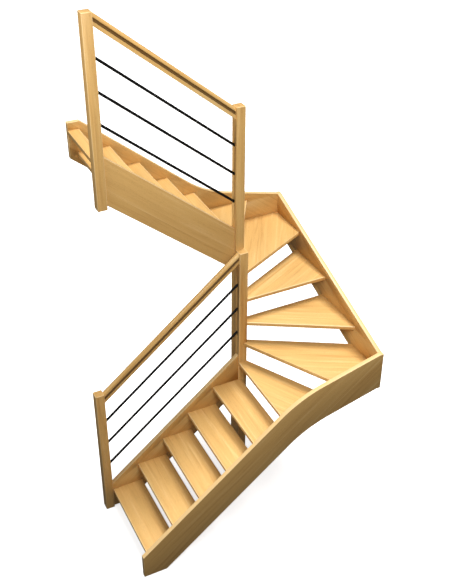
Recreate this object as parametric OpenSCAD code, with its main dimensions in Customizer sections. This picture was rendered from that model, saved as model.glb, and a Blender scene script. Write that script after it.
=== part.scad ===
// Double quarter-turn staircase in lacquered hardwood: closed strings, open
// risers, two flights side by side and six winders round a pair of newels.
// X runs along the lower flight, Y across to the upper flight, Z up.
// The origin is the middle of the lower centre newel's foot. Millimetres.

/* [Steps] */
// Height from each step to the next
rise = 175; // [145:1:210]
// Distance from nosing to nosing along a straight flight
going = 212; // [175:1:260]
// Clear width of each flight between its two strings
flight_w = 700; // [580:10:900]
// Thickness of every tread
tread_t = 30; // [24:1:45]
// How far each tread runs back under the nosing above it
overlap = 25; // [15:1:40]
// Depth from front to back of the narrow landing tread
landing_d = 82; // [60:1:120]

/* [Strings] */
// Thickness of the strings
string_t = 33; // [27:1:45]
// Height of the strings' top edge over the nosing line
margin = 60; // [40:1:80]
// Upright depth of the strings on the straight flights
string_d = 340; // [290:5:400]
// Upright depth of the strings round the turn
turn_d = 308; // [270:2:380]
// Radius of the bend between the flights' pitch and the turn
bend_r = 850; // [400:50:1200]
// How far the front string's toe stands in front of the first nosing
toe = 46; // [20:1:60]
// Extra height of the back corner over the mean of its two nosings
corner_lift = 17; // [0:1:30]
// Height of the back string's level top end over the landing
end_lift = 55; // [35:1:60]
// Depth of the housings that take the tread ends
housing = 12; // [8:1:15]
// Play of a tread end in its housing
housing_gap = 0.2; // [0.1:0.1:0.5]

/* [Newels] */
// Width of the square newels
newel_w = 66; // [55:1:90]
// Height of a newel's top over the handrail that meets it
newel_cap = 4; // [2:1:20]
// Gap from the start newel's face to the first nosing
start_gap = 5; // [0:1:20]
// How far the top newel hangs below its string
newel_drop = 25; // [10:1:60]
// Length of the strings' tenons in the newels
tenon_l = 22; // [15:1:26]
// Thickness of the tenons
tenon_t = 11; // [8:1:14]
// Shoulder above and below each tenon
tenon_shoulder = 35; // [25:1:60]
// Play of a tenon in its mortise
tenon_gap = 0.2; // [0.1:0.1:0.5]

/* [Balustrades] */
// Height of the handrail's top over the nosing line
rail_top = 960; // [900:5:1100]
// Width of the handrail
rail_w = 44; // [42:1:58]
// Height of the handrail, square to its slope
rail_h = 62; // [50:1:75]
// Radius of the handrail's top corners
rail_r = 20; // [8:1:20]
// Radius of the finger grooves in the handrail's sides
groove_r = 8; // [3:1:8]
// Height of the handrail's head, from its top to the middle of the grooves
rail_head = 32; // [26:1:36]
// Diameter of the steel tubes
tube_d = 18; // [12:1:25]
// Wall of the steel tubes
tube_wall = 1.5; // [1:0.5:3]
// Height of the lowest tube over the nosing line
tube_first = 270; // [200:1:300]
// Upright distance from tube to tube
tube_step = 210; // [175:1:220]
// Depth of the tubes' bores in the newels
tube_bore = 20; // [15:1:26]
// Play of a tube in its bore, on the diameter
tube_gap = 0.4; // [0.2:0.1:1]

/* [Hidden] */
$fn = 64;
far = 4000;

half = newel_w / 2;

// Steps 1 to 5 are straight, 6 to 11 wind round the newels, 12 to 15 are
// straight again and 16 is level with the upper floor. The nosings of steps
// 6 to 12 start on the newels' faces, at these distances round from the
// front left corner, and leave at these angles in plan.
first_winder = 6;
first_upper = 12;
landing = 16;
nosing_foot = [0, half + 6, newel_w + 9, 2 * newel_w - 12, 2 * newel_w + 47,
               3 * newel_w + 2, 3 * newel_w + 44];
nosing_angle = [-90, -61, -30, 0, 27, 59, 90];

pitch = atan(rise / going);
y_mid = half;                          // between the two centre newels
y_front = -string_t / 2 - flight_w;    // inner face of the front string
x_side = string_t / 2 + flight_w;      // inner face of the side string
y_back = newel_w - y_front;            // inner face of the back string
x_first = -half - (first_winder - 1) * going;
x_start = x_first - start_gap;         // start newel's face
x_toe = x_first - toe;
x_upper = 3 * newel_w + half - nosing_foot[6];
x_last = x_upper - (landing - first_upper) * going;
x_end = x_last - landing_d;            // edge of the upper floor

wood = "#D9A25C";
steel = "#1C1C1E";

// The nosing line's height at x on the lower and on the upper flight
function lower_z(x) = rise + (x - x_first) * rise / going;
function upper_z(x) = first_upper * rise + (x_upper - x) * rise / going;

// The point at distance s round the newel pair's faces
function newel_foot(s) =
    s <= newel_w ? [s - half, -half] :
    s <= 3 * newel_w ? [half, s - newel_w - half] :
    [half - (s - 3 * newel_w), 2 * newel_w - half];

function nosing_from(k) =
    k < first_winder ? [x_first + (k - 1) * going, -half] :
    k > first_upper ? [x_upper - (k - first_upper) * going, y_mid + newel_w] :
    newel_foot(nosing_foot[k - first_winder]);
function nosing_turn(k) =
    k < first_winder ? -90 :
    k > first_upper ? 90 :
    nosing_angle[k - first_winder];

// Where the nosing of step k crosses the line at y
function nosing_x(k, y) =
    nosing_from(k)[0] + (y - nosing_from(k)[1]) / tan(nosing_turn(k));

function unit(v) = v / norm(v);

// Points of an arc of radius r that rounds the corner k between a and b
function bend(a, k, b, r, n = 12) =
    let (u = unit(a - k), w = unit(b - k), h = 90 - acos(u * w) / 2,
         c = k + unit(u + w) * r / cos(h), p = k + u * r * tan(h) - c,
         q = k + w * r * tan(h) - c)
    [for (i = [0:n]) c + r * unit(p * (1 - i / n) + q * i / n)];

// Where the line through a with slope m meets the line through b with slope n
function cross_at(a, m, b, n) =
    let (x = (b[1] - a[1] + m * a[0] - n * b[0]) / (m - n))
    [x, a[1] + m * (x - a[0])];

// Half of the plan that lies ahead of the nosing of step k, less a shift
module ahead(k, shift) {
    translate(nosing_from(k)) rotate(nosing_turn(k))
        translate([-far, shift]) square([2 * far, far]);
}

// Plan of the space between the strings, grown by g into them and the newels
module walkway(g) {
    difference() {
        union() {
            translate([-far, y_front - g])
                square([far - half, flight_w + 2 * g]);
            translate([-half, y_front - g])
                square([half + x_side + g, y_back - y_front + 2 * g]);
            translate([-far, y_back - flight_w - g])
                square([far - half, flight_w + 2 * g]);
        }
        translate([-half, -half + g])
            square([newel_w - g, 2 * newel_w - 2 * g]);
    }
}

// Keeps a step on its own side of the newels
module own_side(k) {
    if (k < 8) translate([-far, y_mid - far]) square([2 * far, far]);
    else if (k < 10) translate([0, -far]) square([far, 2 * far]);
    else translate([-far, y_mid]) square([2 * far, far]);
}

module step_plan(k, gap) {
    intersection() {
        walkway(housing + gap);
        own_side(k);
        difference() {
            ahead(k, -gap);
            if (k < landing) ahead(k + 1, overlap + gap);
            else translate([x_end - far, -far]) square([far, 2 * far]);
        }
    }
}

module step(k, gap = 0) {
    translate([0, 0, k * rise - tread_t])
        linear_extrude(tread_t + gap) step_plan(k, gap);
}

// The pockets that steps a to b leave in what carries them
module housings(a, b) {
    for (k = [a:b]) step(k, housing_gap);
}

// A board standing along X, from its outline in x and z
module board_x(y, outline) {
    translate([0, y + string_t, 0]) rotate([90, 0, 0])
        linear_extrude(string_t) polygon(outline);
}

// Top edge of the outer strings at the two corners
z_corner_1 = 7.5 * rise + margin;
z_corner_2 = 10.5 * rise + margin + corner_lift;
slope = rise / going;

module front_string() {
    turn = (z_corner_1 - 7 * rise - margin) / (x_side - nosing_x(7, y_front));
    toe_top = [x_toe, lower_z(x_toe) + margin];
    top = cross_at(toe_top, slope, [x_side, z_corner_1], turn);
    low = cross_at(toe_top - [0, string_d], slope,
                   [x_side, z_corner_1 - turn_d], turn);
    floor_x = x_toe + (string_d - toe_top[1]) / slope;
    end = [x_side + string_t, z_corner_1];
    color(wood) difference() {
        board_x(y_front - string_t, concat(
            [[x_toe, 0], toe_top],
            bend(toe_top, top, [x_side, z_corner_1], bend_r),
            [[x_side, z_corner_1], end, end - [0, turn_d],
             [x_side, z_corner_1 - turn_d]],
            bend([x_side, z_corner_1 - turn_d], low, [floor_x, 0], bend_r),
            [[floor_x, 0]]));
        housings(1, 7);
    }
}

module side_string() {
    color(wood) difference() {
        translate([x_side, 0, 0]) rotate([90, 0, 90])
            linear_extrude(string_t) polygon([
                [y_front, z_corner_1], [y_back, z_corner_2],
                [y_back, z_corner_2 - turn_d], [y_front, z_corner_1 - turn_d]]);
        housings(7, 10);
    }
}

module back_string() {
    turn = (11 * rise + margin - z_corner_2) / (nosing_x(11, y_back) - x_side);
    pitch_top = [x_upper, upper_z(x_upper) + margin];
    top = cross_at(pitch_top, -slope, [x_side, z_corner_2], turn);
    low = cross_at(pitch_top - [0, string_d], -slope,
                   [x_side, z_corner_2 - turn_d], turn);
    z_end = landing * rise + end_lift;
    level_x = x_upper - (z_end - pitch_top[1]) / slope;
    foot = [x_end, upper_z(x_end) + margin - string_d];
    out = [x_side + string_t, z_corner_2];
    color(wood) difference() {
        board_x(y_back, concat(
            [[x_end, z_end], [level_x, z_end]],
            bend([level_x, z_end], top, [x_side, z_corner_2], bend_r),
            [[x_side, z_corner_2], out, out - [0, turn_d],
             [x_side, z_corner_2 - turn_d]],
            bend([x_side, z_corner_2 - turn_d], low, foot, bend_r),
            [foot]));
        housings(10, 16);
    }
}

// The tenon of a string that meets a newel's face at x; dir is the way in
module tenon(x, dir, y, z_top, gap) {
    length = tenon_l + gap;
    translate([dir > 0 ? x : x - length, y - tenon_t / 2 - gap,
               z_top - string_d + tenon_shoulder - gap])
        cube([length, tenon_t + 2 * gap,
              string_d - 2 * tenon_shoulder + 2 * gap]);
}

// The lower inner string stands on the floor, so its lower tenon starts there
module lower_tenon_start(gap) {
    translate([x_start - tenon_l - gap, -tenon_t / 2 - gap, tenon_shoulder - gap])
        cube([tenon_l + gap, tenon_t + 2 * gap,
              lower_z(x_start) + margin - 2 * tenon_shoulder + 2 * gap]);
}
module lower_tenon_end(gap) {
    tenon(-half, 1, 0, lower_z(-half) + margin, gap);
}
module upper_tenon_start(gap) {
    tenon(-half, 1, newel_w, upper_z(-half) + margin, gap);
}
module upper_tenon_end(gap) {
    tenon(x_end, -1, newel_w, upper_z(x_end) + margin, gap);
}

module lower_inner_string() {
    z0 = lower_z(x_start) + margin;
    z1 = lower_z(-half) + margin;
    color(wood) {
        difference() {
            board_x(-string_t / 2, [
                [x_start, 0], [x_start, z0], [-half, z1],
                [-half, z1 - string_d],
                [x_start + (string_d - z0) / slope, 0]]);
            housings(1, 6);
        }
        lower_tenon_start(0);
        lower_tenon_end(0);
    }
}

module upper_inner_string() {
    z0 = upper_z(-half) + margin;
    z1 = upper_z(x_end) + margin;
    color(wood) {
        difference() {
            board_x(newel_w - string_t / 2, [
                [-half, z0], [x_end, z1], [x_end, z1 - string_d],
                [-half, z0 - string_d]]);
            housings(10, 16);
        }
        upper_tenon_start(0);
        upper_tenon_end(0);
    }
}

// Lays its children, drawn along X, on the pitch of the lower flight with
// their start at x = -half, z over the nosing line
module on_lower(z) {
    translate([-half, 0, lower_z(-half) + z]) rotate([0, 180 - pitch, 0])
        rotate([180, 0, 0]) children();
}
module on_upper(z) {
    translate([-half, newel_w, upper_z(-half) + z]) rotate([0, pitch, 0])
        rotate([0, 0, 180]) children();
}

// Length along the slope from a newel's face to the one at the other end
lower_run = (-half - x_start) / cos(pitch);
upper_run = (-half - x_end) / cos(pitch);

// A tube's axis along +X from its bore at the centre newels to the one at
// the other end; the ends are square, so the bores reach in by tube_bore
module tube(run) {
    rotate([0, 90, 0]) translate([0, 0, -tube_bore]) difference() {
        cylinder(d = tube_d, h = run + 2 * tube_bore);
        translate([0, 0, -1])
            cylinder(d = tube_d - 2 * tube_wall, h = run + 2 * tube_bore + 2);
    }
}
module tube_bores(run) {
    rotate([0, 90, 0]) translate([0, 0, -tube_bore])
        cylinder(d = tube_d + tube_gap, h = run + 2 * tube_bore);
}
module lower_tube(i) {
    color(steel) on_lower(tube_first + (i - 1) * tube_step) tube(lower_run);
}
module upper_tube(i) {
    color(steel) on_upper(tube_first + (i - 1) * tube_step) tube(upper_run);
}
module lower_bores() {
    for (i = [0:2]) on_lower(tube_first + i * tube_step) tube_bores(lower_run);
}
module upper_bores() {
    for (i = [0:2]) on_upper(tube_first + i * tube_step) tube_bores(upper_run);
}

// Section of the handrail, top at z = 0: round corners and finger grooves
module rail_section() {
    difference() {
        union() {
            translate([-rail_w / 2, -rail_h]) square([rail_w, rail_h - rail_r]);
            translate([rail_r - rail_w / 2, -rail_r - 1])
                square([rail_w - 2 * rail_r, rail_r + 1]);
            for (s = [-1, 1])
                translate([s * (rail_w / 2 - rail_r), -rail_r])
                    circle(rail_r);
        }
        for (s = [-1, 1])
            translate([s * rail_w / 2, -rail_head]) circle(groove_r);
    }
}
module rail(run) {
    rotate([90, 0, 90]) translate([0, 0, -rail_h])
        linear_extrude(run + 2 * rail_h) rail_section();
}

module lower_handrail() {
    color(wood) intersection() {
        on_lower(rail_top) rail(lower_run);
        translate([x_start, -half, 0])
            cube([-half - x_start, newel_w, far + far]);
    }
}
module upper_handrail() {
    color(wood) intersection() {
        on_upper(rail_top) rail(upper_run);
        translate([x_end, half, 0])
            cube([-half - x_end, newel_w, far + far]);
    }
}

module newel(x, y, z0, z1) {
    translate([x - half, y - half, z0]) cube([newel_w, newel_w, z1 - z0]);
}

module start_newel() {
    color(wood) difference() {
        newel(x_start - half, 0, 0, lower_z(x_start) + rail_top + newel_cap);
        lower_tenon_start(tenon_gap);
        lower_bores();
    }
}

module lower_centre_newel() {
    color(wood) difference() {
        newel(0, 0, 0, lower_z(-half) + rail_top + newel_cap);
        lower_tenon_end(tenon_gap);
        housings(5, 12);
        lower_bores();
    }
}

module upper_centre_newel() {
    color(wood) difference() {
        newel(0, newel_w, 0, upper_z(-half) + rail_top + newel_cap);
        upper_tenon_start(tenon_gap);
        housings(5, 12);
        upper_bores();
    }
}

module top_newel() {
    color(wood) difference() {
        newel(x_end - half, newel_w,
              upper_z(x_end) + margin - string_d - newel_drop,
              upper_z(x_end) + rail_top + newel_cap);
        upper_tenon_end(tenon_gap);
        upper_bores();
    }
}

module tread(k) { color(wood) step(k); }

front_string();
side_string();
back_string();
lower_inner_string();
upper_inner_string();
start_newel();
lower_centre_newel();
upper_centre_newel();
top_newel();
tread(1);  // tread_01
tread(2);  // tread_02
tread(3);  // tread_03
tread(4);  // tread_04
tread(5);  // tread_05
tread(6);  // tread_06
tread(7);  // tread_07
tread(8);  // tread_08
tread(9);  // tread_09
tread(10);  // tread_10
tread(11);  // tread_11
tread(12);  // tread_12
tread(13);  // tread_13
tread(14);  // tread_14
tread(15);  // tread_15
tread(16);  // landing_tread
lower_handrail();
upper_handrail();
lower_tube(1);  // lower_tube_1
lower_tube(2);  // lower_tube_2
lower_tube(3);  // lower_tube_3
upper_tube(1);  // upper_tube_1
upper_tube(2);  // upper_tube_2
upper_tube(3);  // upper_tube_3
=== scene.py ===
"""Double quarter-turn staircase: lacquered beech boards, newels and handrails with black steel tubes."""

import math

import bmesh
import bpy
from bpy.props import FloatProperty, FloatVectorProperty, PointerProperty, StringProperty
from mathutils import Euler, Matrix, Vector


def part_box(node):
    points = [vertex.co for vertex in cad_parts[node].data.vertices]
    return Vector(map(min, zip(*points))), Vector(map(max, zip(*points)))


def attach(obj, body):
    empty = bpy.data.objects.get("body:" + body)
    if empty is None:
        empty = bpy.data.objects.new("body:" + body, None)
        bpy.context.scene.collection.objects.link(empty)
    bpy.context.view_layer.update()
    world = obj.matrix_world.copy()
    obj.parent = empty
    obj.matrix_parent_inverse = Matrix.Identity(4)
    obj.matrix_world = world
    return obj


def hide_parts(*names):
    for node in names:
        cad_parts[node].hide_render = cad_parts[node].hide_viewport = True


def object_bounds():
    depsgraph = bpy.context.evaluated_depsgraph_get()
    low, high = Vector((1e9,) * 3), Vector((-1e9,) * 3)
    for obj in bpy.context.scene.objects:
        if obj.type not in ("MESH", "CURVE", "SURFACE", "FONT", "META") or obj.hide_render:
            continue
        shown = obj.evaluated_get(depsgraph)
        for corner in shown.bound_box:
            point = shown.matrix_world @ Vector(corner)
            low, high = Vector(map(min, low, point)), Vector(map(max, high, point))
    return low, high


bl_info = {
    "name": "Quarter-Turn Staircase",
    "version": (1, 0, 0),
    "blender": (4, 5, 0),
    "location": "View3D > Sidebar > Staircase",
    "description": "Builds the eased beech boards, the steel tubes and the stage of a double quarter-turn staircase",
    "category": "Object",
}

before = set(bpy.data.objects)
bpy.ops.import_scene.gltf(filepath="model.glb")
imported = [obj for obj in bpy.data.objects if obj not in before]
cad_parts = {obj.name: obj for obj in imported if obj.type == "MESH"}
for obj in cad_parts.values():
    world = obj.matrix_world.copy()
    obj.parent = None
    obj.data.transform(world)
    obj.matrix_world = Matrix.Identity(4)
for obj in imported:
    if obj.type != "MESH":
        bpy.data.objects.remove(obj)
CAD_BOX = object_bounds()

# --- the staircase's own parts, by what they are ------------------------------------------

STRINGS = ("front_string", "side_string", "back_string", "lower_inner_string", "upper_inner_string")
NEWELS = ("start_newel", "lower_centre_newel", "upper_centre_newel", "top_newel")
TREADS = tuple(f"tread_{number:02d}" for number in range(1, 16)) + ("landing_tread",)
HANDRAILS = ("lower_handrail", "upper_handrail")
TUBES = tuple(f"{flight}_tube_{number}" for flight in ("lower", "upper") for number in (1, 2, 3))

BODY = "root"
SAME_POINT = 0.00002  # vertices closer than this are one corner
FLAT_ANGLE = math.radians(0.3)
SHARP_ANGLE = math.radians(35)
SMOOTH_ANGLE = math.radians(28)
EASING_STEPS = 3
HIGHLIGHT_MARK = "pale_edge"  # name of the mark that faces carry for the painted highlight on edges
GROOVE_REACH = 0.0092  # half the height of a handrail's groove, and a little more


# --- colour and small helpers --------------------------------------------------------------

def linear(hex_colour):
    """Turn an sRGB hex value such as DEB570 into a linear RGBA colour."""
    channels = [int(hex_colour.lstrip("#")[start:start + 2], 16) / 255 for start in (0, 2, 4)]
    return tuple(c / 12.92 if c <= 0.04045 else ((c + 0.055) / 1.055) ** 2.4 for c in channels) + (1.0,)


def add_node(tree, kind, links=None, **settings):
    """Add one node, set its properties and inputs, and link the inputs that are fed by other nodes.

    settings holds node properties; a dict under "inputs" holds input values by name or number;
    links maps an input's name or number to the output that feeds it."""
    node = tree.nodes.new(kind)
    values = settings.pop("inputs", {})
    for name, value in settings.items():
        setattr(node, name, value)
    for name, value in values.items():
        node.inputs[name].default_value = value
    for name, output in (links or {}).items():
        tree.links.new(output, node.inputs[name])
    return node


# --- sizes and colours that a user would change --------------------------------------------

class StaircaseTimber(bpy.types.PropertyGroup):
    arris: FloatProperty(name="Arris", description="Rounding of the long edges of strings and newels",
                         default=0.003, min=0.0005, max=0.006, subtype="DISTANCE", unit="LENGTH")
    nosing: FloatProperty(name="Nosing rounding", description="Rounding of each tread's front edge",
                          default=0.006, min=0.001, max=0.012, subtype="DISTANCE", unit="LENGTH")
    tread_arris: FloatProperty(name="Tread arris", description="Rounding of the treads' other edges",
                               default=0.0015, min=0.0005, max=0.004, subtype="DISTANCE", unit="LENGTH")
    stave_width: FloatProperty(name="Stave width", description="Width of the staves that a panel is glued up from",
                               default=0.048, min=0.03, max=0.12, subtype="DISTANCE", unit="LENGTH")
    pale_wood: StringProperty(name="Pale wood", description="Early wood between the figure, sRGB hex", default="E9C180")
    mid_wood: StringProperty(name="Mid wood", description="Main colour of the boards, sRGB hex", default="DFB26C")
    dark_wood: StringProperty(name="Dark wood", description="Darkest lines of the figure, sRGB hex", default="CB9A58")
    # Painted highlight: pale colour laid on the rounded arrises and upward-facing top edges, where light would catch
    # them.
    edge_highlight: StringProperty(name="Edge wood", description="Sanded arrises and top edges, sRGB hex", default="FCDDA6")
    fleck: StringProperty(name="Fleck", description="Short ray flecks of the wood, sRGB hex", default="A87542")
    # Painted shade: dark colour laid in the handrail's groove, standing in for the shadow under the rail's head.
    groove: StringProperty(name="Groove", description="Lacquer gathered in the handrail's grooves, sRGB hex",
                           default="4A2C0E")
    satin: FloatProperty(name="Lacquer roughness", description="Roughness of the satin lacquer",
                         default=0.38, min=0.05, max=0.9, subtype="FACTOR")


class StaircaseTubes(bpy.types.PropertyGroup):
    coat: StringProperty(name="Powder coat", description="Black of the powder coat, sRGB hex", default="060606")
    coat_roughness: FloatProperty(name="Coat roughness", description="Roughness of the powder coat",
                                  default=0.48, min=0.1, max=0.9, subtype="FACTOR")


class StaircaseStage(bpy.types.PropertyGroup):
    floor: StringProperty(name="Floor", description="Pale studio floor, sRGB hex", default="F4F3F1")
    floor_glow: FloatProperty(name="Floor lift", description="Light the floor gives off, which keeps its shadows faint",
                              default=0.70, min=0.0, max=2.0)
    sky: FloatProperty(name="Dome above", description="Strength of the soft light from above", default=0.24, min=0.0, max=3.0)
    ground: FloatProperty(name="Dome below", description="Strength of the soft light from below", default=0.06, min=0.0, max=3.0)
    key: FloatProperty(name="Key", description="Strength of the soft key light overhead", default=3.0, min=0.0, max=20.0)
    key_spread: FloatProperty(name="Key softness", description="Angle that the key light fills",
                              default=math.radians(20), min=0.0, max=1.5, subtype="ANGLE", unit="ROTATION")
    key_from: FloatVectorProperty(name="Key direction", description="Where the key light comes from",
                                  default=(0.20, 0.13, 1.0), size=3, subtype="XYZ")
    fill: FloatProperty(name="Fill", description="Power of the soft panel in front of the upper flight",
                        default=92.0, min=0.0, max=1000.0, unit="POWER")
    fill_place: FloatVectorProperty(name="Fill place", description="Where the soft panel hangs",
                                    default=(-0.8, -3.0, 4.6), size=3, subtype="TRANSLATION", unit="LENGTH")
    side_fill: FloatProperty(name="Side fill", description="Power of the soft panel to the left of the upper flight",
                             default=31.0, min=0.0, max=1000.0, unit="POWER")
    side_fill_place: FloatVectorProperty(name="Side fill place", description="Where the left panel hangs",
                                         default=(-2.7, -0.2, 4.4), size=3, subtype="TRANSLATION", unit="LENGTH")
    lens: FloatProperty(name="Lens", description="Focal length on a 36 mm sensor", default=57.20, min=10.0, max=200.0,
                        subtype="DISTANCE_CAMERA", unit="CAMERA")
    camera_place: FloatVectorProperty(name="Camera place", description="Where the camera stands",
                                      default=(-2.5215, -4.8781, 5.4726), size=3, subtype="TRANSLATION", unit="LENGTH")
    camera_turn: FloatVectorProperty(name="Camera heading", description="Heading, downward tilt and roll of the camera",
                                     default=tuple(math.radians(angle) for angle in (25.299, 33.762, -0.451)),
                                     size=3, subtype="EULER", unit="ROTATION")


# --- boards --------------------------------------------------------------------------------

def cad_mesh(node):
    """Return a bmesh of one CAD node with its corners joined and its flat faces whole."""
    mesh = bmesh.new()
    mesh.from_mesh(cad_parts[node].data)
    bmesh.ops.remove_doubles(mesh, verts=mesh.verts, dist=SAME_POINT)
    bmesh.ops.dissolve_limit(mesh, angle_limit=FLAT_ANGLE, verts=mesh.verts, edges=mesh.edges)
    mesh.normal_update()
    mesh.faces.layers.float.new(HIGHLIGHT_MARK)
    return mesh


def board_axes(mesh):
    """Return the matrix of a board's own axes: X along its longest edge, Z out of its widest face."""
    longest = max(mesh.edges, key=lambda edge: round(edge.calc_length(), 6))
    along = (longest.verts[1].co - longest.verts[0].co).normalized()
    lead = max(range(3), key=lambda axis: abs(along[axis]))
    if along[lead] < 0:
        along.negate()
    side_on = [face for face in mesh.faces if abs(face.normal.dot(along)) < 0.05]
    through = max(side_on, key=lambda face: round(face.calc_area(), 7)).normal.copy()
    through = (through - along * through.dot(along)).normalized()
    if sum(through) < 0:
        through.negate()
    across = through.cross(along)
    corners = [vertex.co for vertex in mesh.verts]
    middle = Vector([(min(c[axis] for c in corners) + max(c[axis] for c in corners)) / 2 for axis in range(3)])
    turn = Matrix((along, across, through)).transposed().to_4x4()
    return Matrix.Translation(middle) @ turn


def spans_board(face, through, thickness):
    """Say if a face is one of the board's own faces or edges, and not the wall of a housing, bore or tenon."""
    if abs(face.normal.dot(through)) > 0.98:
        return True
    reach = [vertex.co.dot(through) for vertex in face.verts]
    return max(reach) - min(reach) > 0.8 * thickness


def outer_arrises(mesh, through):
    """Return the long outer edges of a board, which a joiner would ease."""
    reach = [vertex.co.dot(through) for vertex in mesh.verts]
    thickness = max(reach) - min(reach)
    return [edge for edge in mesh.edges
            if len(edge.link_faces) == 2 and edge.is_convex
            and edge.calc_face_angle(0) > SHARP_ANGLE
            and edge.calc_length() > 0.012
            and all(spans_board(face, through, thickness) for face in edge.link_faces)]


def ease(mesh, edges, radius):
    """Round the given edges, and mark the rounds for a painted highlight: pale colour where light would catch them."""
    rounds = bmesh.ops.bevel(mesh, geom=edges, offset=radius, offset_type="OFFSET", segments=EASING_STEPS,
                             profile=0.5, clamp_overlap=False, affect="EDGES")["faces"]
    pale = mesh.faces.layers.float[HIGHLIGHT_MARK]
    for face in rounds:
        face[pale] = 1.0


def mark_top_edge_highlights(mesh, through):
    """Mark a string's upward-facing top edge, planed across the ends of its staves, for a painted highlight a little
    paler than its sides.
    """
    pale = mesh.faces.layers.float[HIGHLIGHT_MARK]
    for face in mesh.faces:
        if abs(face.normal.dot(through)) < 0.3 and face.normal.z > 0.3:
            face[pale] = 0.8


def put_board(mesh, axes, name, node, material, number, hollows=None):
    """Make the finished piece from its mesh and let it stand for its CAD node.

    The piece keeps its place in its mesh. Each corner also carries where it lies in the board's own axes, moved
    on by the board's number so that no two boards are alike, and each face how squarely it cuts the grain.
    hollows, where given, says of a face if it lies in a groove; such faces are marked for painted shade."""
    bmesh.ops.remove_doubles(mesh, verts=mesh.verts, dist=SAME_POINT)
    bmesh.ops.dissolve_degenerate(mesh, edges=mesh.edges, dist=SAME_POINT / 10)
    bmesh.ops.triangulate(mesh, faces=[face for face in mesh.faces if len(face.verts) > 4])
    mesh.normal_update()
    own = axes.inverted()
    along = axes.col[0].to_3d()
    cut_from = Vector((0.731, 1.37, 2.11)) * number
    places = [value for vertex in mesh.verts for value in own @ vertex.co]
    shifts = [value for _ in mesh.verts for value in cut_from]
    cuts = [abs(face.normal.dot(along)) for face in mesh.faces]
    hollow = [1.0 if hollows and hollows(face) else 0.0 for face in mesh.faces]
    data = bpy.data.meshes.new(name)
    mesh.to_mesh(data)
    mesh.free()
    data.attributes.new("board_place", "FLOAT_VECTOR", "POINT").data.foreach_set("vector", places)
    data.attributes.new("log_place", "FLOAT_VECTOR", "POINT").data.foreach_set("vector", shifts)
    data.attributes.new("end_grain", "FLOAT", "FACE").data.foreach_set("value", cuts)
    data.attributes.new("hollow", "FLOAT", "FACE").data.foreach_set("value", hollow)
    data.shade_smooth()
    data.set_sharp_from_angle(angle=SMOOTH_ANGLE)
    data.materials.append(material)
    piece = bpy.data.objects.new(name, data)
    bpy.context.collection.objects.link(piece)
    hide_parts(node)
    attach(piece, BODY)
    return piece


# --- materials -----------------------------------------------------------------------------

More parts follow.
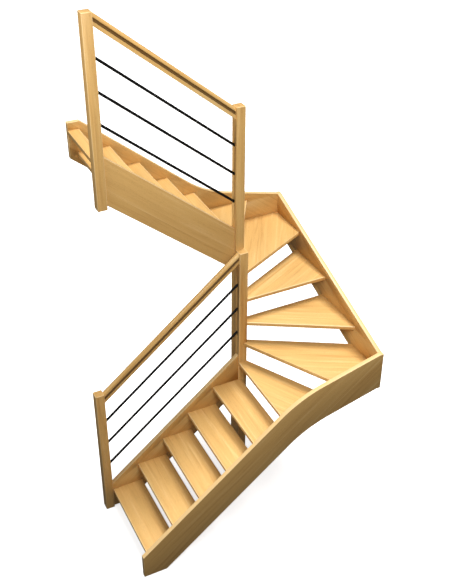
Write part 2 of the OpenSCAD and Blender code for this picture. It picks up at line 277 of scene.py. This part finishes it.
def lacquered_beech(name, figure_width, stave_contrast, bands, tone, rubbed=0.0):
    """Beech, planed, edge-glued from staves and finished with a clear satin lacquer.

    It gives the eye a warm honey colour with a soft, wandering figure along each board, faint steps of tone from
    stave to stave, short brown ray flecks, darker end grain and a low, even sheen."""
    timber = bpy.context.scene.staircase_timber
    material = bpy.data.materials.new(name)
    material.use_nodes = True
    tree = material.node_tree
    tree.nodes.clear()

    # Each board has its own axes, in metres: X along the grain, Y across it and Z through the board. It is cut
    # from another place in the log than the next board.
    place = add_node(tree, "ShaderNodeAttribute", attribute_name="board_place")
    log = add_node(tree, "ShaderNodeAttribute", attribute_name="log_place")
    cut = add_node(tree, "ShaderNodeAttribute", attribute_name="end_grain")
    split = add_node(tree, "ShaderNodeSeparateXYZ", {0: place.outputs["Vector"]})
    board = add_node(tree, "ShaderNodeSeparateXYZ", {0: log.outputs["Vector"]})

    # Staves: a panel is glued up from strips side by side; each has its own tone and its own figure.
    strip = add_node(tree, "ShaderNodeMath", {0: split.outputs["Y"]}, operation="DIVIDE",
                     inputs={1: timber.stave_width})
    strip = add_node(tree, "ShaderNodeMath", {0: strip.outputs[0], 1: board.outputs["Y"]}, operation="ADD")
    strip = add_node(tree, "ShaderNodeMath", {0: strip.outputs[0]}, operation="FLOOR")
    stave = add_node(tree, "ShaderNodeCombineXYZ", {"X": strip.outputs[0], "Y": board.outputs["X"]})
    stave = add_node(tree, "ShaderNodeTexWhiteNoise", {"Vector": stave.outputs[0]}, noise_dimensions="3D")
    stave_shift = add_node(tree, "ShaderNodeVectorMath", {0: stave.outputs["Color"]}, operation="SCALE",
                           inputs={3: 0.9 * bands})
    grain = add_node(tree, "ShaderNodeVectorMath", {0: place.outputs["Vector"], 1: log.outputs["Vector"]}, operation="ADD")
    grain = add_node(tree, "ShaderNodeVectorMath", {0: grain.outputs[0], 1: stave_shift.outputs[0]}, operation="ADD")

    # The growth rings of real beech are 2 to 4 mm apart, too fine to show at this size, so the broad figure
    # that they add up to is drawn instead, figure_width apart across the grain and over half a metre along it.
    across = 1.0 / figure_width
    stretched = add_node(tree, "ShaderNodeMapping", {"Vector": grain.outputs[0]},
                         inputs={"Scale": (across * 0.055, across, across * 0.8)})
    figure = add_node(tree, "ShaderNodeTexNoise", {"Vector": stretched.outputs[0]},
                      inputs={"Scale": 1.0, "Detail": 3.0, "Roughness": 0.52, "Distortion": 0.9})
    # Fine streaks, about 6 mm wide and 0.2 m long.
    fine = add_node(tree, "ShaderNodeMapping", {"Vector": grain.outputs[0]}, inputs={"Scale": (5.0, 165.0, 165.0)})
    fine = add_node(tree, "ShaderNodeTexNoise", {"Vector": fine.outputs[0]},
                    inputs={"Scale": 1.0, "Detail": 2.0, "Roughness": 0.6})
    # Ray flecks: 1 mm by 5 mm in real beech, drawn about 3 mm by 14 mm so that they show.
    flecks = add_node(tree, "ShaderNodeMapping", {"Vector": grain.outputs[0]}, inputs={"Scale": (70.0, 330.0, 330.0)})
    flecks = add_node(tree, "ShaderNodeTexNoise", {"Vector": flecks.outputs[0]},
                      inputs={"Scale": 1.0, "Detail": 1.0, "Roughness": 0.5})
    fleck_amount = add_node(tree, "ShaderNodeMapRange", {"Value": flecks.outputs["Fac"]},
                            inputs={"From Min": 0.60, "From Max": 0.72, "To Min": 0.0, "To Max": 0.34})

    mixed = add_node(tree, "ShaderNodeMath", {0: fine.outputs["Fac"], 2: figure.outputs["Fac"]},
                     operation="MULTIPLY_ADD", inputs={1: 0.34})
    wood = add_node(tree, "ShaderNodeValToRGB", {0: mixed.outputs[0]})
    ramp = wood.color_ramp
    ramp.interpolation = "EASE"
    ramp.elements[0].position, ramp.elements[0].color = 0.42, linear(timber.pale_wood)
    ramp.elements[1].position, ramp.elements[1].color = 0.95, linear(timber.dark_wood)
    middle = ramp.elements.new(0.66)
    middle.color = linear(timber.mid_wood)

    # Tone of the stave, then of the kind of part.
    lift = add_node(tree, "ShaderNodeMapRange", {"Value": stave.outputs["Value"]},
                    inputs={"To Min": tone - stave_contrast, "To Max": tone + stave_contrast})
    toned = add_node(tree, "ShaderNodeHueSaturation", {"Value": lift.outputs[0], "Color": wood.outputs[0]})
    flecked = add_node(tree, "ShaderNodeMix", {0: fleck_amount.outputs[0], 6: toned.outputs[0]},
                       data_type="RGBA", inputs={7: linear(timber.fleck)})

    # End grain: the board's ends drink the lacquer and turn darker.
    ends = add_node(tree, "ShaderNodeMapRange", {"Value": cut.outputs["Fac"]},
                    inputs={"From Min": 0.80, "From Max": 0.97, "To Min": 0.0, "To Max": 0.16})
    ended = add_node(tree, "ShaderNodeMix", {0: ends.outputs[0], 6: flecked.outputs[2]},
                     data_type="RGBA", inputs={7: linear(timber.fleck)})

    # Painted highlight: rounded arrises and upward-facing top edges are coloured paler than the faces, as where light
    # catches them.
    edge = add_node(tree, "ShaderNodeAttribute", attribute_name=HIGHLIGHT_MARK)
    edge = add_node(tree, "ShaderNodeMath", {0: edge.outputs["Fac"]}, operation="MULTIPLY", inputs={1: 0.6})
    ended = add_node(tree, "ShaderNodeMix", {0: edge.outputs[0], 6: ended.outputs[2]},
                     data_type="RGBA", inputs={7: linear(timber.edge_highlight)})

    # Painted shade: the groove under the rail's head is coloured dark, standing in for the shadow that the head casts.
    groove = add_node(tree, "ShaderNodeAttribute", attribute_name="hollow")
    groove = add_node(tree, "ShaderNodeMath", {0: groove.outputs["Fac"]}, operation="MULTIPLY", inputs={1: 0.82})
    ended = add_node(tree, "ShaderNodeMix", {0: groove.outputs[0], 6: ended.outputs[2]},
                     data_type="RGBA", inputs={7: linear(timber.groove)})

    # The lacquer lies in the grain: its sheen changes a little along the streaks.
    sheen = add_node(tree, "ShaderNodeMapRange", {"Value": fine.outputs["Fac"]},
                     inputs={"From Min": 0.25, "From Max": 0.75,
                             "To Min": timber.satin - rubbed - 0.05,
                             "To Max": timber.satin - rubbed + 0.08})
    relief = add_node(tree, "ShaderNodeMath", {0: fine.outputs["Fac"], 1: fleck_amount.outputs[0]},
                      operation="SUBTRACT")
    bump = add_node(tree, "ShaderNodeBump", {"Height": relief.outputs[0]},
                    inputs={"Strength": 0.25, "Distance": 0.0004})

    shader = add_node(tree, "ShaderNodeBsdfPrincipled",
                      {"Base Color": ended.outputs[2], "Roughness": sheen.outputs[0], "Normal": bump.outputs[0]},
                      inputs={"IOR": 1.5, "Metallic": 0.0, "Specular IOR Level": 0.35,
                              "Coat Weight": 0.12 + rubbed, "Coat Roughness": 0.3 - rubbed, "Coat IOR": 1.5})
    add_node(tree, "ShaderNodeOutputMaterial", {"Surface": shader.outputs[0]})
    return material


def powder_coated_steel():
    """Mild steel tube with a baked black powder coat, sprayed and cured.

    It gives the eye a deep black with a soft, broad highlight, broken by the coat's fine orange peel."""
    tubes = bpy.context.scene.staircase_tubes
    material = bpy.data.materials.new("Black_Powder_Coated_Steel")
    material.use_nodes = True
    tree = material.node_tree
    tree.nodes.clear()
    place = add_node(tree, "ShaderNodeTexCoord")
    # Orange peel: cells about 1.5 mm across, drawn at 4 mm so that they show.
    peel = add_node(tree, "ShaderNodeTexNoise", {"Vector": place.outputs["Object"]},
                    inputs={"Scale": 250.0, "Detail": 2.0, "Roughness": 0.5})
    # Handling leaves the coat a shade greyer over lengths of some 60 mm.
    worn = add_node(tree, "ShaderNodeTexNoise", {"Vector": place.outputs["Object"]},
                    inputs={"Scale": 16.0, "Detail": 3.0, "Roughness": 0.55})
    black = add_node(tree, "ShaderNodeValToRGB", {0: worn.outputs["Fac"]})
    black.color_ramp.elements[0].position, black.color_ramp.elements[0].color = 0.35, linear(tubes.coat)
    black.color_ramp.elements[1].position, black.color_ramp.elements[1].color = 0.75, linear("0D0D0E")
    gloss = add_node(tree, "ShaderNodeMapRange", {"Value": worn.outputs["Fac"]},
                     inputs={"From Min": 0.3, "From Max": 0.7,
                             "To Min": tubes.coat_roughness - 0.05, "To Max": tubes.coat_roughness + 0.08})
    bump = add_node(tree, "ShaderNodeBump", {"Height": peel.outputs["Fac"]},
                    inputs={"Strength": 0.3, "Distance": 0.0003})
    shader = add_node(tree, "ShaderNodeBsdfPrincipled",
                      {"Base Color": black.outputs[0], "Roughness": gloss.outputs[0], "Normal": bump.outputs[0]},
                      inputs={"Metallic": 0.0, "IOR": 1.5, "Specular IOR Level": 0.2})
    add_node(tree, "ShaderNodeOutputMaterial", {"Surface": shader.outputs[0]})
    return material


# --- operators -----------------------------------------------------------------------------

class STAIRCASE_OT_strings(bpy.types.Operator):
    """Ease the arrises of the five strings and finish them in beech"""
    bl_idname = "staircase.strings"
    bl_label = "Strings"

    def execute(self, context):
        timber = context.scene.staircase_timber
        material = lacquered_beech("Lacquered_Beech_Strings", figure_width=0.055, stave_contrast=0.018,
                                   bands=0.12, tone=0.97)
        for number, node in enumerate(STRINGS, start=1):
            mesh = cad_mesh(node)
            axes = board_axes(mesh)
            mark_top_edge_highlights(mesh, axes.col[2].to_3d())
            ease(mesh, outer_arrises(mesh, axes.col[2].to_3d()), timber.arris)
            put_board(mesh, axes, f"{node}_board", node, material, number)
        return {"FINISHED"}


class STAIRCASE_OT_newels(bpy.types.Operator):
    """Ease the arrises of the four newels and finish them in beech"""
    bl_idname = "staircase.newels"
    bl_label = "Newels"

    def execute(self, context):
        timber = context.scene.staircase_timber
        material = lacquered_beech("Lacquered_Beech_Newels", figure_width=0.034, stave_contrast=0.015,
                                   bands=0.1, tone=1.0)
        for number, node in enumerate(NEWELS, start=11):
            mesh = cad_mesh(node)
            axes = board_axes(mesh)
            ease(mesh, outer_arrises(mesh, axes.col[2].to_3d()), timber.arris)
            put_board(mesh, axes, f"{node}_post", node, material, number)
        return {"FINISHED"}


class STAIRCASE_OT_treads(bpy.types.Operator):
    """Round the nosings of the treads, ease their other edges and finish them in beech"""
    bl_idname = "staircase.treads"
    bl_label = "Treads"

    def execute(self, context):
        timber = context.scene.staircase_timber
        material = lacquered_beech("Lacquered_Beech_Treads", figure_width=0.042, stave_contrast=0.035,
                                   bands=1.0, tone=1.0)
        middles = [sum((Vector(corner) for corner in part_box(node)), Vector()) / 2 for node in TREADS]
        for number, node in enumerate(TREADS):
            mesh = cad_mesh(node)
            axes = board_axes(mesh)
            down = (middles[number] - middles[number + 1]) if node != TREADS[-1] else middles[-2] - middles[-1]
            down.z = 0
            sides = [face for face in mesh.faces if abs(face.normal.z) < 0.1 and face.calc_area() > 0.006]
            front = max(sides, key=lambda face: face.normal.dot(down.normalized() * (1 if node != TREADS[-1] else 1)))
            arrises = outer_arrises(mesh, Vector((0, 0, 1)))
            nosing = [edge for edge in arrises if front in edge.link_faces and abs(edge.verts[0].co.z - edge.verts[1].co.z) < 0.001]
            nosing_ends = {vertex for edge in nosing for vertex in edge.verts}
            ease(mesh, nosing, timber.nosing)
            rest = [edge for edge in outer_arrises(mesh, Vector((0, 0, 1)))
                    if not any(vertex in nosing_ends for vertex in edge.verts if vertex.is_valid)]
            ease(mesh, rest, timber.tread_arris)
            put_board(mesh, axes, f"{node}_board", node, material, 21 + number)
        return {"FINISHED"}


class STAIRCASE_OT_handrails(bpy.types.Operator):
    """Finish the two grooved handrails in beech, with smooth rounds"""
    bl_idname = "staircase.handrails"
    bl_label = "Handrails"

    def execute(self, context):
        material = lacquered_beech("Lacquered_Beech_Handrails", figure_width=0.030, stave_contrast=0.0,
                                   bands=0.0, tone=1.0, rubbed=0.14)
        for number, node in enumerate(HANDRAILS, start=41):
            mesh = cad_mesh(node)
            axes = board_axes(mesh)
            own = axes.inverted()
            sideways = own.to_3x3() @ Vector((0, 1, 0))
            upright = sideways.cross(Vector((1, 0, 0)))

            # Faces in the groove are marked for painted shade, the dark band of the shadow under the rail's head.
            def in_groove(face):
                centre = own @ face.calc_center_median()
                return (abs(centre.dot(upright)) < GROOVE_REACH and abs(centre.dot(sideways)) > GROOVE_REACH
                        and abs(face.normal.dot(axes.col[0].to_3d())) < 0.3)

            put_board(mesh, axes, f"{node}_moulding", node, material, number, hollows=in_groove)
        return {"FINISHED"}


class STAIRCASE_OT_tubes(bpy.types.Operator):
    """Finish the six steel tubes in black powder coat"""
    bl_idname = "staircase.tubes"
    bl_label = "Tubes"

    def execute(self, context):
        material = powder_coated_steel()
        for node in TUBES:
            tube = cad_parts[node]
            for slot in tube.material_slots:
                slot.material = material
            if not tube.material_slots:
                raise RuntimeError(f"{node} has no material slot")
        return {"FINISHED"}


class STAIRCASE_OT_stage(bpy.types.Operator):
    """Set up the pale floor, the soft lights and the camera"""
    bl_idname = "staircase.stage"
    bl_label = "Stage"

    def execute(self, context):
        scene = context.scene
        stage = scene.staircase_stage
        scene.view_settings.view_transform = "Standard"

        # Painted studio floor: matt and pale; it gives off a little light so that shadows on it stay faint.
        material = bpy.data.materials.new("Matt_White_Floor")
        material.use_nodes = True
        tree = material.node_tree
        tree.nodes.clear()
        place = add_node(tree, "ShaderNodeTexCoord")
        # Roller texture of the paint, about 20 mm wide.
        roller = add_node(tree, "ShaderNodeTexNoise", {"Vector": place.outputs["Object"]},
                          inputs={"Scale": 50.0, "Detail": 2.0})
        bump = add_node(tree, "ShaderNodeBump", {"Height": roller.outputs["Fac"]},
                        inputs={"Strength": 0.1, "Distance": 0.001})
        shader = add_node(tree, "ShaderNodeBsdfPrincipled", {"Normal": bump.outputs[0]},
                          inputs={"Base Color": linear(stage.floor), "Roughness": 0.9, "Specular IOR Level": 0.1,
                                  "Emission Color": linear("FFFFFF"), "Emission Strength": stage.floor_glow})
        add_node(tree, "ShaderNodeOutputMaterial", {"Surface": shader.outputs[0]})
        reach = 30.0
        ground = CAD_BOX[0][2] - 0.0005
        corners = [(-reach, -reach, ground), (reach, -reach, ground), (reach, reach, ground), (-reach, reach, ground)]
        data = bpy.data.meshes.new("studio_floor")
        data.from_pydata(corners, [], [(0, 1, 2, 3)])
        data.materials.append(material)
        floor = bpy.data.objects.new("studio_floor", data)
        scene.collection.objects.link(floor)
        floor.visible_diffuse = False
        floor.visible_glossy = False

        # Soft dome: pale to the eye, stronger from above than from below as a light.
        world = bpy.data.worlds.new("soft_dome")
        scene.world = world
        world.use_nodes = True
        tree = world.node_tree
        tree.nodes.clear()
        place = add_node(tree, "ShaderNodeTexCoord")
        height = add_node(tree, "ShaderNodeSeparateXYZ", {0: place.outputs["Generated"]})
        level = add_node(tree, "ShaderNodeMapRange", {"Value": height.outputs["Z"]},
                         inputs={"From Min": -0.25, "From Max": 0.35, "To Min": stage.ground, "To Max": stage.sky})
        ray = add_node(tree, "ShaderNodeLightPath")
        seen = add_node(tree, "ShaderNodeMix", {0: ray.outputs["Is Camera Ray"], 2: level.outputs[0]},
                        data_type="FLOAT", inputs={3: 1.05})
        dome = add_node(tree, "ShaderNodeBackground", {"Strength": seen.outputs[0]},
                        inputs={"Color": linear("FFFFFF")})
        add_node(tree, "ShaderNodeOutputWorld", {"Surface": dome.outputs[0]})

        key = bpy.data.lights.new("high_key", "SUN")
        key.energy = stage.key
        key.angle = stage.key_spread
        lamp = bpy.data.objects.new("high_key", key)
        lamp.rotation_euler = Vector(stage.key_from).to_track_quat("Z", "Y").to_euler()
        scene.collection.objects.link(lamp)

        aim = Vector((-0.6, 0.0, 2.9))
        for name, power, place in (("front_panel", stage.fill, stage.fill_place),
                                   ("side_panel", stage.side_fill, stage.side_fill_place)):
            fill = bpy.data.lights.new(name, "AREA")
            fill.shape = "DISK"
            fill.size = 1.4
            fill.energy = power
            panel = bpy.data.objects.new(name, fill)
            panel.location = place
            panel.rotation_euler = (panel.location - aim).to_track_quat("Z", "Y").to_euler()
            scene.collection.objects.link(panel)

        # The heading turns from +Y towards +X, the tilt is downward, and the roll is about the line of sight.
        heading, tilt, roll = stage.camera_turn
        ahead = Vector((math.sin(heading) * math.cos(tilt), math.cos(heading) * math.cos(tilt), -math.sin(tilt)))
        right = Vector((math.cos(heading), -math.sin(heading), 0.0))
        up = right.cross(ahead)
        level_right, level_up = right.copy(), up.copy()
        right = level_right * math.cos(roll) + level_up * math.sin(roll)
        up = level_up * math.cos(roll) - level_right * math.sin(roll)
        optics = bpy.data.cameras.new("main_camera")
        optics.sensor_width = 36.0
        optics.lens = stage.lens
        optics.shift_x = 0.0199
        optics.shift_y = -0.0267
        optics.clip_end = 200.0
        camera = bpy.data.objects.new("main_camera", optics)
        turn = Matrix((right, up, -ahead)).transposed().to_4x4()
        camera.matrix_world = Matrix.Translation(Vector(stage.camera_place)) @ turn
        scene.collection.objects.link(camera)
        scene.camera = camera
        return {"FINISHED"}


# --- panel and registration ----------------------------------------------------------------

PIECE_OPERATORS = (STAIRCASE_OT_strings, STAIRCASE_OT_newels, STAIRCASE_OT_treads,
                   STAIRCASE_OT_handrails, STAIRCASE_OT_tubes, STAIRCASE_OT_stage)


class STAIRCASE_PT_panel(bpy.types.Panel):
    """Sizes, colours and pieces of the staircase"""
    bl_idname = "STAIRCASE_PT_panel"
    bl_label = "Quarter-Turn Staircase"
    bl_space_type = "VIEW_3D"
    bl_region_type = "UI"
    bl_category = "Staircase"

    def draw(self, context):
        layout = self.layout
        for group, label in (("staircase_timber", "Timber"), ("staircase_tubes", "Tubes"),
                             ("staircase_stage", "Stage")):
            settings = getattr(context.scene, group)
            box = layout.box()
            box.label(text=label)
            for name in settings.__annotations__:
                box.prop(settings, name)
        for operator in PIECE_OPERATORS:
            layout.operator(operator.bl_idname)


GROUPS = {"staircase_timber": StaircaseTimber, "staircase_tubes": StaircaseTubes, "staircase_stage": StaircaseStage}


def register():
    for group in GROUPS.values():
        bpy.utils.register_class(group)
    for name, group in GROUPS.items():
        setattr(bpy.types.Scene, name, PointerProperty(type=group))
    for operator in PIECE_OPERATORS:
        bpy.utils.register_class(operator)
    bpy.utils.register_class(STAIRCASE_PT_panel)


def unregister():
    bpy.utils.unregister_class(STAIRCASE_PT_panel)
    for operator in reversed(PIECE_OPERATORS):
        bpy.utils.unregister_class(operator)
    for name, group in GROUPS.items():
        delattr(bpy.types.Scene, name)
        bpy.utils.unregister_class(group)


def main():
    register()
    bpy.ops.staircase.strings()
    bpy.ops.staircase.newels()
    bpy.ops.staircase.treads()
    bpy.ops.staircase.handrails()
    bpy.ops.staircase.tubes()
    bpy.ops.staircase.stage()


if __name__ == "__main__":
    main()
